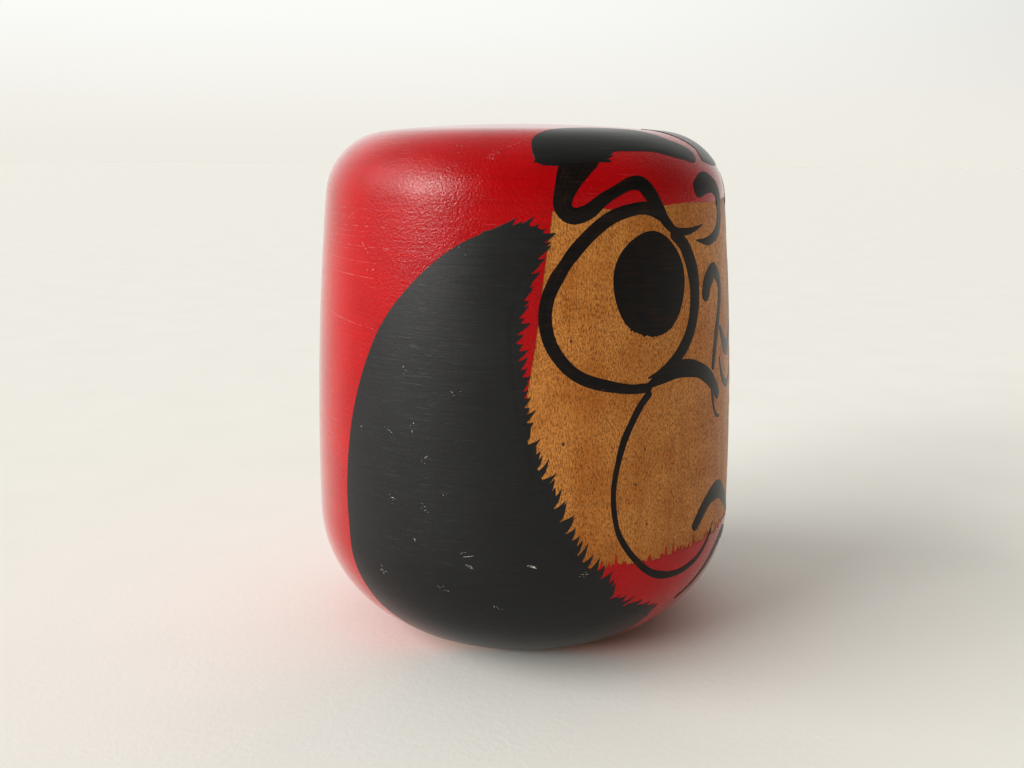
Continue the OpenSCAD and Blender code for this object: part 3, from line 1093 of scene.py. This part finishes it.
@dataclass
class RedCoat:
    """The coat of red paint, with the face window left out of it."""

    turning: Turning
    window: Window
    brush: Brush
    palette: Palette
    bare: float = 1 * MM
    under: float = 0.14 * MM
    skin: float = -0.02 * MM

    def build(self) -> bpy.types.Object:
        """Spread the coat over the surface.

        Columns run up the doll, close together across the face. In each the coat rises from its
        lower edge to the window's, and from the window's upper edge to the top, with its last
        points under the wood. Faces between the two edges are kept only outside the window.

        Returns:
            The piece.
        """
        half = self.window.half_angle
        angle = np.concatenate(
            [
                np.linspace(-180, -half - 1, 75),
                np.arange(-half - 0.8, half + 0.81, 0.2),
                np.linspace(half + 1, 180, 75),
            ]
        )
        lower, upper = self.window.levels(angle, True)
        within = np.abs(angle) <= half
        bottom = self.turning.level_of_foot(self.bare)
        edge = bottom + 0.25 * np.sin(np.radians(angle) * 7) + 0.12 * np.sin(np.radians(angle) * 23)
        start = np.array([0.0, 0.0, 0.12, 0.3])[:, None]
        low_rows = edge + start / (self.turning.height / MM / 100)
        rise = np.linspace(0, 1, 26)[1:, None]
        lower_part = low_rows[-1] + (lower - low_rows[-1]) * rise
        upper_rise = np.concatenate([np.linspace(0, 0.9, 44), np.linspace(0.91, 1, 8)])[:, None]
        upper_part = upper + (self.turning.top_level - upper) * upper_rise
        level = np.vstack([low_rows, lower_part, lower, upper, upper_part])
        lift = np.full_like(level, self.skin)
        lift[0] = -self.under
        lift[1] = -0.06 * MM
        count = len(low_rows) + len(lower_part)
        gap = np.where(within, smoothstep(0, 3.0, upper - lower), 0.0)
        lift[count] -= self.under * gap
        lift[count + 1] -= self.under * gap
        points = self.turning.wrap(angle, level, lift)
        flat = np.stack(np.broadcast_arrays(angle * PER_DEGREE, level * PER_LEVEL), axis=-1)
        keep = np.ones((level.shape[0] - 1, len(angle) - 1), bool)
        keep[count] = ~(within[:-1] & within[1:])
        walls = np.zeros_like(keep)
        walls[[count - 1, count + 1]] = within[:-1] & within[1:]
        coat = Patch.grid(points, flat, np.zeros_like(level), keep, walls)
        return make_piece(
            "red_coat_film", Patch.join([coat, self.wear()]), [self.palette.red, self.palette.pale]
        )

    def wear(self) -> Patch:
        """Pale scratches: fine ones round the back of the shoulder, a long faint one below them,
        two short slanting ones, and a chip on the shoulder with a crack running from it."""
        rng = np.random.default_rng(5)
        lines = []
        for level in (60.4, 59.3, 58.6, 57.2, 56.4, 55.3, 54.1, 53.2, 51.6, 49.0):
            at = rng.uniform(-152, -134)
            long = rng.uniform(20, 52)
            tilt = rng.uniform(-0.9, 0.3)
            wide = rng.uniform(0.012, 0.026)
            lines.append(
                [(at, level, wide * 0.4), (at + long / 2, level + tilt / 2, wide),
                 (at + long, level + tilt, wide * 0.4)]
            )
        lines += [
            [(-141.5, 41.8, 0.012), (-124.0, 40.4, 0.035), (-107.0, 39.4, 0.012)],
            [(-114.9, 54.5, 0.02), (-113.3, 53.4, 0.045), (-111.9, 52.5, 0.02)],
            [(-122.0, 58.4, 0.03), (-120.4, 59.1, 0.05), (-119.0, 59.6, 0.02)],
            [(-76.3, 71.4, 0.03), (-72.0, 72.9, 0.022), (-67.9, 74.3, 0.012)],
        ]
        marks = [self.brush.line(rows, 0.0) for rows in lines]
        chip = self.brush.scuffs([(-78.6, 70.1), (-77.2, 70.9)], 12, 0.7 * MM, 21, 0.0)
        more = self.brush.scuffs(
            [(-96.0, 69.5), (-112.0, 50.0), (-99.0, 44.5), (-106.0, 54.0), (-88.0, 72.0)],
            3, 1.0 * MM, 22, 0.0,
        )
        others = self.brush.scuffs(
            [(150.0, 40.0), (165.0, 12.0), (-172.0, 25.0), (120.0, 58.0), (-160.0, 70.0)],
            4, 1.6 * MM, 23, 0.0,
        )
        return Patch.join([Patch.join(marks).finished(1), chip, more, others])


@dataclass
class Beard:
    """One side of the beard: a black crescent with a smooth edge behind and flicks of the brush
    along the face."""

    brush: Brush
    palette: Palette
    side: Side
    film: float = 0.08 * MM
    rear: Sequence[Place] = (
        (-65.5, 57.6), (-69.5, 58.3), (-74.5, 57.9), (-79.5, 56.9), (-84.5, 55.3), (-89.5, 53.1),
        (-94.5, 50.2), (-99.5, 46.7), (-104.0, 43.1), (-108.0, 39.0), (-111.5, 34.1),
        (-114.5, 28.9), (-117.0, 23.3), (-119.0, 16.2), (-120.0, 8.1), (-119.5, 1.8),
        (-118.5, -4.9), (-116.5, -10.1), (-113.5, -15.2), (-108.0, -20.3), (-100.0, -25.3),
        (-88.0, -29.4), (-70.0, -30.9), (-56.0, -29.4), (-45.0, -26.3), (-36.0, -21.3),
        (-31.0, -15.7),
    )
    front: Sequence[Place] = (
        (-65.5, 57.6), (-67.6, 53.0), (-70.3, 47.6), (-72.0, 42.5), (-72.0, 37.5), (-71.0, 30.4),
        (-69.7, 24.3), (-67.5, 19.2), (-64.5, 14.0), (-62.0, 9.2), (-59.5, 4.6), (-56.0, 0.4),
        (-52.0, -3.1), (-49.0, -6.9), (-46.0, -9.6), (-40.5, -11.9), (-36.0, -13.4),
        (-31.0, -15.7),
    )
    nicks: Sequence[Place] = (
        (-104.5, 22.4), (-96.5, 23.5), (-93.5, 18.0), (-102.5, 9.6), (-93.5, 9.1), (-97.0, 2.9),
        (-84.5, 1.8), (-82.5, -0.4), (-107.5, -4.9), (-55.5, -2.6), (-88.0, 12.0), (-86.5, 30.0),
        (-99.0, 33.0), (-90.0, -6.0), (-76.0, -9.0),
    )

    def flicks(self) -> list[Stroke]:
        """Strokes along the front edge, each from inside the beard up and forward to a point."""
        rng = np.random.default_rng(31)
        path = self.brush.spline(np.asarray(self.front, float))
        total = self.brush.lengths(path)[-1]
        strokes = []
        at = 1.5 * MM
        while at < total - 0.8 * MM:
            angle, level = self.brush.resample(path, np.array([at]))[0]
            long = rng.uniform(1.5, 2.9)
            lean = math.radians(rng.uniform(18, 42) if level > 24 else rng.uniform(38, 64))
            if level < -8:
                lean -= math.radians(22)
            over = long * math.cos(lean) / PER_DEGREE
            up = long * math.sin(lean) / PER_LEVEL
            wide = rng.uniform(0.34, 0.58)
            strokes.append(
                Stroke(
                    [
                        (angle - 1.9, level - 1.1, wide * 1.25),
                        (angle + over * 0.15, level + up * 0.1, wide),
                        (angle + over * 0.72, level + up * 0.6, wide * 0.42),
                        (angle + over, level + up, 0.03),
                    ],
                    (0.0, 0.0, 0.1),
                )
            )
            at += rng.uniform(0.85, 1.75) * MM
        for angle, level, long in ((-78.4, 56.6, 1.1), (-76.2, 57.0, 1.7), (-74.2, 57.4, 2.3),
                                   (-72.2, 57.3, 1.8), (-70.4, 57.3, 2.6), (-68.4, 56.8, 1.9),
                                   (-67.2, 55.8, 2.2), (-68.6, 53.6, 1.0), (-69.6, 51.4, 0.9)):
            strokes.append(
                Stroke(
                    [
                        (angle - 1.6, level - 1.9, 0.8),
                        (angle - 0.1, level - 0.1, 0.62),
                        (angle + long * 0.6, level + long * 0.55, 0.22),
                        (angle + long * 1.15, level + long * 0.9, 0.03),
                    ],
                    (0.0, 0.0, 0.1),
                )
            )
        return strokes

    def build(self) -> bpy.types.Object:
        """Fill the crescent, and lay the flicks and the scuffs over it."""
        sign = 1 if self.side is Side.LEFT else -1
        rear = [(sign * a, b) for a, b in self.rear]
        front = [(sign * a, b) for a, b in self.front]
        body = self.brush.field_between(np.array(rear), np.array(front), 420, 30, self.film)
        ribbons = [
            self.brush.ribbon(stroke.mirrored(self.side), 100 + k, 0.4 * MM)
            for k, stroke in enumerate(self.flicks())
        ]
        places = [(sign * a, b) for a, b in self.nicks]
        scuffs = self.brush.scuffs(
            places, 5, 0.9 * MM, 41 if self.side is Side.LEFT else 42, self.film
        )
        dash = self.brush.line(
            [(sign * -68.6, -0.2, 0.08), (sign * -67.4, -0.4, 0.13), (sign * -66.2, -0.7, 0.06)],
            self.film,
        ).finished(1)
        patch = Patch.join([body, *ribbons, scuffs, dash])
        name = f"beard_{self.side.name.lower()}_film"
        return make_piece(name, patch, [self.palette.black, self.palette.scuff])


@dataclass
class Brow:
    """A thick brow over the shoulder, broad and ragged at its outer end."""

    brush: Brush
    palette: Palette
    side: Side
    film: float = 0.05 * MM
    short_back: Sequence[Place] = (
        (-67.6, 70.6), (-67.6, 74.2), (-64.0, 77.2), (-59.0, 79.0), (-49.0, 81.2), (-40.0, 81.9),
        (-31.0, 80.2), (-22.8, 76.6), (-20.0, 74.9), (-15.4, 73.2), (-12.4, 71.8),
    )
    long_back: Sequence[Place] = (
        (-67.6, 70.6), (-67.6, 74.2), (-64.0, 77.2), (-59.0, 79.0), (-49.0, 81.2), (-40.0, 81.9),
        (-31.0, 81.6), (-14.0, 83.2), (0.0, 83.6), (13.0, 82.6), (13.0, 79.5), (11.2, 77.2),
        (8.6, 75.0), (6.4, 72.6), (7.8, 71.0),
    )
    front: Sequence[Place] = (
        (-67.6, 70.6), (-66.0, 68.6), (-60.0, 68.2), (-52.0, 68.6), (-47.5, 69.6), (-45.0, 71.1),
        (-40.0, 71.3), (-32.0, 71.2), (-26.0, 70.3), (-20.0, 69.4), (-15.0, 68.9),
    )

    def build(self) -> bpy.types.Object:
        """Fill the brow, and lay short ragged marks at its outer end."""
        sign = 1 if self.side is Side.LEFT else -1
        long = self.side is Side.RIGHT
        back = self.long_back if long else self.short_back
        end = [(-6.0, 68.3), (2.0, 68.3), (9.0, 69.2)] if long else [(-11.8, 70.4)]
        first = np.array([(sign * a, b) for a, b in back])
        second = np.array([(sign * a, b) for a, b in [*self.front, *end]])
        body = self.brush.field_between(first, second, 260, 24, self.film)
        rng = np.random.default_rng(61)
        ends = []
        for angle, level, over, up in (
            (-65.0, 69.8, -2.4, -0.9), (-65.2, 71.0, -2.6, -0.3), (-63.4, 69.4, -1.8, -1.1),
            (-49.2, 69.5, 2.4, -0.4), (-49.6, 70.2, 3.6, 0.0), (-61.8, 69.0, -1.4, -0.7),
        ):
            ends.append(
                Stroke(
                    [
                        (angle, level, 0.35),
                        (angle + over * 0.6, level + up * 0.6, 0.22),
                        (angle + over, level + up, 0.05),
                    ],
                    (0.0, 0.1, 0.3 + 0.1 * rng.random()),
                )
            )
        ribbons = [
            self.brush.ribbon(stroke.mirrored(self.side), 300 + k, 0.4 * MM)
            for k, stroke in enumerate(ends)
        ]
        nicks = self.brush.scuffs(
            [(sign * -45.0, 78.0), (sign * -33.0, 76.0)], 3, 1.2 * MM, 66, self.film
        )
        name = f"brow_{self.side.name.lower()}_film"
        return make_piece(
            name, Patch.join([body, *ribbons, nicks]), [self.palette.black, self.palette.scuff]
        )


@dataclass
class Face:
    """The strokes of the face, each laid on the bare wood and out over the red."""

    brush: Brush
    palette: Palette
    eye: Place = (-37.0, 48.0)
    pupil_width: float = 14.2 * MM
    pupil_height: float = 16.6 * MM
    frown_spread: float = 5.5
    nose_spread: float = 2.5
    spread_end: float = 20.0
    brow_curl: Stroke = Stroke(
        (
            (-55.0, 69.9, 1.9), (-58.0, 66.9, 1.5), (-60.0, 63.8, 1.1), (-60.6, 61.6, 0.95),
            (-59.2, 60.1, 0.85), (-57.0, 59.8, 0.8), (-53.9, 60.6, 0.75), (-50.5, 62.4, 0.65),
            (-46.5, 63.9, 0.6), (-42.8, 65.0, 0.7), (-39.5, 65.0, 0.85), (-37.0, 63.3, 0.85),
            (-34.5, 60.8, 0.75), (-31.5, 58.2, 0.6), (-28.5, 56.8, 0.45), (-24.0, 56.6, 0.4), (-20.0, 57.0, 0.25),
            (-16.5, 57.6, 0.06),
        ),
        (0.0, 0.0, 0.1),
    )
    eye_ring_outer: Stroke = Stroke(
        (
            (-33.5, 59.8, 0.7), (-37.5, 60.8, 0.65), (-41.5, 60.8, 0.65), (-47.5, 59.7, 0.7),
            (-52.5, 57.5, 0.7), (-57.5, 54.1, 0.7), (-61.5, 50.2, 0.7), (-64.0, 46.6, 0.7),
            (-64.8, 43.0, 0.7), (-63.7, 39.0, 0.7), (-61.0, 35.7, 0.65), (-57.5, 33.3, 0.65),
            (-53.5, 31.9, 0.65), (-48.5, 30.9, 0.6), (-43.5, 30.2, 0.55), (-38.5, 30.1, 0.5),
        ),
        (0.05, 0.0, 0.05),
    )
    eye_ring_inner: Stroke = Stroke(
        (
            (-29.5, 56.1, 0.5), (-25.5, 54.2, 0.8), (-22.5, 50.2, 0.95), (-21.5, 46.2, 0.95),
            (-22.2, 41.9, 0.9), (-24.5, 38.2, 0.8), (-28.5, 35.0, 0.7), (-33.5, 32.8, 0.5),
            (-38.5, 31.8, 0.1),
        ),
        (0.3, 0.0, 0.15),
    )
    frown: Stroke = Stroke(
        (
            (-17.5, 64.1, 1.1), (-13.5, 65.0, 1.3), (-9.5, 64.8, 1.2), (-6.2, 63.6, 1.0),
            (-4.4, 61.4, 0.9), (-4.2, 59.0, 0.85), (-6.0, 56.6, 0.75), (-9.5, 55.2, 0.6),
            (-14.5, 54.5, 0.45), (-20.0, 54.9, 0.08),
        ),
        (0.0, 0.0, 0.2),
    )
    nose_side: Stroke = Stroke(
        (
            (-16.0, 45.2, 0.95), (-14.6, 47.3, 1.05), (-11.2, 49.0, 0.95), (-7.8, 47.6, 0.7),
            (-6.6, 45.0, 0.6), (-7.5, 42.0, 0.6), (-9.7, 37.6, 0.6), (-11.3, 34.0, 0.5),
            (-12.4, 31.2, 0.4),
        ),
        (0.0, 0.0, 0.15),
    )
    moustache: Stroke = Stroke(
        (
            (-38.0, 30.6, 0.4), (-34.5, 31.6, 0.75), (-29.5, 32.5, 0.95), (-24.5, 32.3, 0.95),
            (-19.5, 31.3, 0.9), (-15.0, 29.5, 0.9), (-11.7, 27.5, 0.85), (-9.6, 25.9, 0.8),
        ),
        (0.1, 0.0, 0.1),
    )
    moustache_tail: Stroke = Stroke(
        (
            (-13.0, 26.8, 0.35), (-12.3, 24.5, 0.3), (-11.3, 22.7, 0.25), (-9.6, 21.4, 0.22),
            (-7.8, 21.1, 0.15),
        ),
        (0.0, 0.1, 0.2),
    )
    cheek_line: Stroke = Stroke(
        (
            (-38.5, 28.9, 0.45), (-40.8, 27.1, 0.42), (-43.0, 24.6, 0.42), (-45.4, 21.1, 0.4),
            (-47.2, 16.3, 0.33), (-48.0, 11.9, 0.3), (-47.5, 7.4, 0.3), (-46.0, 3.6, 0.33),
            (-42.2, -0.6, 0.36), (-37.3, -4.1, 0.4), (-32.6, -5.7, 0.48), (-28.5, -6.3, 0.42),
            (-24.2, -6.3, 0.42), (-18.6, -5.2, 0.4), (-14.0, -2.7, 0.3), (-10.5, 0.4, 0.1),
        ),
        (0.0, 0.02, 0.42),
    )
    mouth: Stroke = Stroke(
        (
            (-20.5, 1.8, 0.7), (-16.8, 4.3, 0.85), (-13.0, 5.9, 1.0), (-8.5, 6.4, 1.15),
            (-4.7, 5.4, 1.0), (-0.9, 3.3, 0.85), (3.0, 1.3, 0.75), (7.5, -0.6, 0.7),
            (13.0, -1.6, 0.7), (19.0, -1.6, 0.5),
        ),
        (0.0, 0.0, 0.15),
    )
    lip_half: Sequence[Row] = (
        (-21.5, -14.0, 0.3), (-15.0, -11.5, 0.5), (-9.5, -8.7, 0.65), (-5.0, -6.0, 0.75),
        (0.0, -4.4, 0.8),
    )
    tip_half: Sequence[Row] = (
        (-6.8, 38.0, 0.3), (-5.0, 36.2, 0.7), (-2.6, 34.2, 0.9), (0.0, 33.5, 0.95),
    )
    base_half: Sequence[Row] = (
        (-7.8, 32.3, 0.2), (-6.9, 30.6, 0.35), (-5.4, 28.6, 0.45), (-2.6, 26.9, 0.5),
        (0.0, 26.4, 0.5),
    )

    def across(self, half: Sequence[Row], dry: tuple[float, float, float]) -> Stroke:
        """A stroke across the face: its left half up to the middle, and the mirror image."""
        return Stroke([*half, *[(-a, b, c) for a, b, c in reversed(half[:-1])]], dry)

    def spread(self, stroke: Stroke, side: Side, by: float) -> Stroke:
        """A stroke near the middle as laid on a side, from its rows for the left.

        Args:
            stroke: The stroke on the left.
            side: The side.
            by: Degrees by which the right one lies farther out in the middle of the face, and
                less and less out to the end of the spread.

        Returns:
            The stroke.
        """
        if side is Side.LEFT:
            return stroke
        rows = [(a - by * max(0.0, 1 + a / self.spread_end), b, c) for a, b, c in stroke.rows]
        return replace(stroke, rows=rows).mirrored(side)

    def pieces(self) -> dict[str, Patch]:
        """Lay every stroke.

        Returns:
            The patch of each piece, by the name of the CAD node that it stands for.
        """
        lay = self.brush.ribbon
        made = {
            "mouth": lay(self.mouth, 1),
            "lower_lip": lay(self.across(self.lip_half, (0.35, 0.05, 0.35)), 2),
            "nose_tip": lay(self.across(self.tip_half, (0.1, 0.0, 0.1)), 3),
            "nose_base": lay(self.across(self.base_half, (0.15, 0.05, 0.15)), 4),
        }
        for side in Side:
            name = side.name.lower()
            step = 0 if side is Side.LEFT else 50
            eye = (self.eye[0] * (1 if side is Side.LEFT else -1), self.eye[1])
            cheek = self.cheek_line
            if side is Side.RIGHT:
                cheek = replace(cheek, rows=cheek.rows[:-1])
            made |= {
                f"brow_curl_{name}": lay(self.brow_curl.mirrored(side), 10 + step),
                f"eye_ring_outer_{name}": lay(self.eye_ring_outer.mirrored(side), 11 + step),
                f"eye_ring_inner_{name}": lay(self.eye_ring_inner.mirrored(side), 12 + step),
                f"pupil_{name}": self.brush.disc(
                    eye, self.pupil_width, self.pupil_height, 13 + step, 0.3 * MM
                ),
                f"frown_{name}": lay(self.spread(self.frown, side, self.frown_spread), 14 + step),
                f"nose_side_{name}": lay(
                    self.spread(self.nose_side, side, self.nose_spread), 15 + step
                ),
                f"moustache_{name}": Patch.join(
                    [
                        lay(self.moustache.mirrored(side), 16 + step),
                        lay(self.moustache_tail.mirrored(side), 17 + step),
                    ]
                ),
                f"cheek_line_{name}": lay(cheek.mirrored(side), 18 + step),
            }
        return made

    def build(self) -> dict[str, bpy.types.Object]:
        """Make the piece of every stroke, by the name of its CAD node."""
        return {
            node: make_piece(f"{node}_film", patch, [self.palette.ink])
            for node, patch in self.pieces().items()
        }


@dataclass
class Studio:
    """Pale floor, soft light from the left and behind, and the camera."""

    turning: Turning
    camera_angle: float = -69.5
    distance: float = 187.1 * MM
    height: float = 85 * MM
    pitch: float = 12.71
    roll: float = 0.26
    lens: float = 35.16
    shift: float = -0.0121
    far_floor: Colour = (0.859, 0.835, 0.764, 1.0)
    windows: Sequence[tuple[float, float, float, float]] = (
        (-150.0, 29.0, 42.0, 1.85),
        (-122.0, 21.0, 20.0, 1.15),
    )
    glint: tuple[float, float, float, float] = (-130.0, 24.0, 14.0, 2.4)

    def floor(self) -> bpy.types.Object:
        """A wide flat floor."""
        across = np.linspace(-1, 1, 41) * 12.0
        along = np.linspace(-1, 1, 41) * 12.0
        grid = np.stack(np.meshgrid(across, along), axis=-1)
        points = np.concatenate([grid, np.zeros(grid.shape[:2] + (1,))], axis=-1)
        patch = Patch.grid(points + np.array([1e-6, 0, 0]), grid, np.zeros(grid.shape[:2]))
        patch.faces = patch.faces if self.faces_up(patch) else patch.faces[:, ::-1]
        made = make_piece("floor", patch, [PaleFloor("pale_floor", specular=0.3).material()])
        return made

    def faces_up(self, patch: Patch) -> bool:
        """Whether a flat patch's first face looks up."""
        a, b, c = (patch.points[k] for k in patch.faces[0][:3])
        return bool(np.cross(b - a, c - a)[2] > 0)

    def sky(self) -> None:
        """Surround the scene with an even glow: palest to the left of the camera and behind the
        doll, dim and warm on the side away from that, and like the far floor low down."""
        world = bpy.data.worlds.new("surround")
        world.use_nodes = True
        bpy.context.scene.world = world
        bench = Bench(world.node_tree, "ShaderNodeBackground", "ShaderNodeOutputWorld")
        way = bench.node("ShaderNodeTexCoord", {}, {}, "Generated")
        pale_side = Vector((0.6, 0.75, 0.25)).normalized()
        facing = bench.node(
            "ShaderNodeVectorMath", {"operation": "DOT_PRODUCT"}, {0: way, 1: pale_side}, "Value"
        )
        share = facing.between(-0.5, 1.0)
        glow = bench.blend(share, (0.17, 0.15, 0.12, 1.0), (0.97, 0.97, 0.94, 1.0))
        height = bench.node(
            "ShaderNodeVectorMath", {"operation": "DOT_PRODUCT"}, {0: way, 1: (0, 0, 1)}, "Value"
        )
        low = 1 - height.between(-0.01, 0.15)
        bench.feed(bench.shader.inputs["Color"], bench.blend(low, glow, self.far_floor))
        bench.shader.inputs["Strength"].default_value = 1.0

    def window_light(self) -> None:
        """Light the scene as a row of windows does, from the left of the camera. Each is given by
        its angle round the doll, its rise, its width in degrees and its power. The last one is
        the brightest pane, which counts only in the gloss."""
        for number, (angle, height, width, power) in enumerate([*self.windows, self.glint], 1):
            lamp = bpy.data.lights.new(f"window_{number}", "SUN")
            lamp.energy = power
            lamp.angle = math.radians(width)
            lamp.color = (1.0, 0.985, 0.965)
            made = bpy.data.objects.new(f"window_{number}", lamp)
            bpy.context.scene.collection.objects.link(made)
            turn, rise = math.radians(angle), math.radians(height)
            towards = Vector(
                (math.sin(turn) * math.cos(rise), -math.cos(turn) * math.cos(rise), math.sin(rise))
            )
            made.rotation_euler = towards.to_track_quat("Z", "Y").to_euler()
            made.visible_diffuse = number <= len(self.windows)

    def shoot(self) -> bpy.types.Object:
        """Set the camera on the doll's left, a little above it, looking slightly down."""
        camera = bpy.data.cameras.new("camera")
        camera.lens = self.lens
        camera.sensor_width = 36.0
        camera.shift_x = self.shift
        camera.clip_start = 0.01
        camera.clip_end = 20
        made = bpy.data.objects.new("camera", camera)
        bpy.context.scene.collection.objects.link(made)
        turn = math.radians(self.camera_angle)
        at = Vector((math.sin(turn) * self.distance, -math.cos(turn) * self.distance, self.height))
        level = Euler((math.radians(90 - self.pitch), 0, turn), "XYZ").to_matrix()
        tilt = Matrix.Rotation(math.radians(self.roll), 3, "Z")
        made.matrix_world = Matrix.Translation(at) @ (level @ tilt).to_4x4()
        bpy.context.scene.camera = made
        bpy.context.scene.view_settings.view_transform = "Standard"
        return made

    def build(self) -> None:
        """Set up the floor, the light and the camera."""
        self.floor()
        self.sky()
        self.window_light()
        self.shoot()


def hand_over(piece: bpy.types.Object, node: str) -> None:
    """Ride a piece on the doll's one body, in place of its CAD node, and report it.

    Args:
        piece: The piece.
        node: The CAD node that it stands for.
    """
    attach(piece, "root")
    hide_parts(node)
    log.info("%s: %d faces, for %s", piece.name, len(piece.data.polygons), node)


def main() -> None:
    """Load the frame, and build the doll and the studio in order."""
    logging.basicConfig(level=logging.INFO, format="%(name)s: %(message)s")
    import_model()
    turning = Turning()
    window = Window()
    palette = Palette()
    brush = Brush(turning, window)
    hand_over(Block(turning, brush, palette).build(), "wood_body")
    hand_over(RedCoat(turning, window, brush, palette).build(), "red_coat")
    for side in Side:
        name = side.name.lower()
        hand_over(Beard(brush, palette, side).build(), f"beard_{name}")
        hand_over(Brow(brush, palette, side).build(), f"brow_{name}")
    for node, piece in Face(brush, palette).build().items():
        hand_over(piece, node)
    Studio(turning).build()


if __name__ == "__main__":
    main()
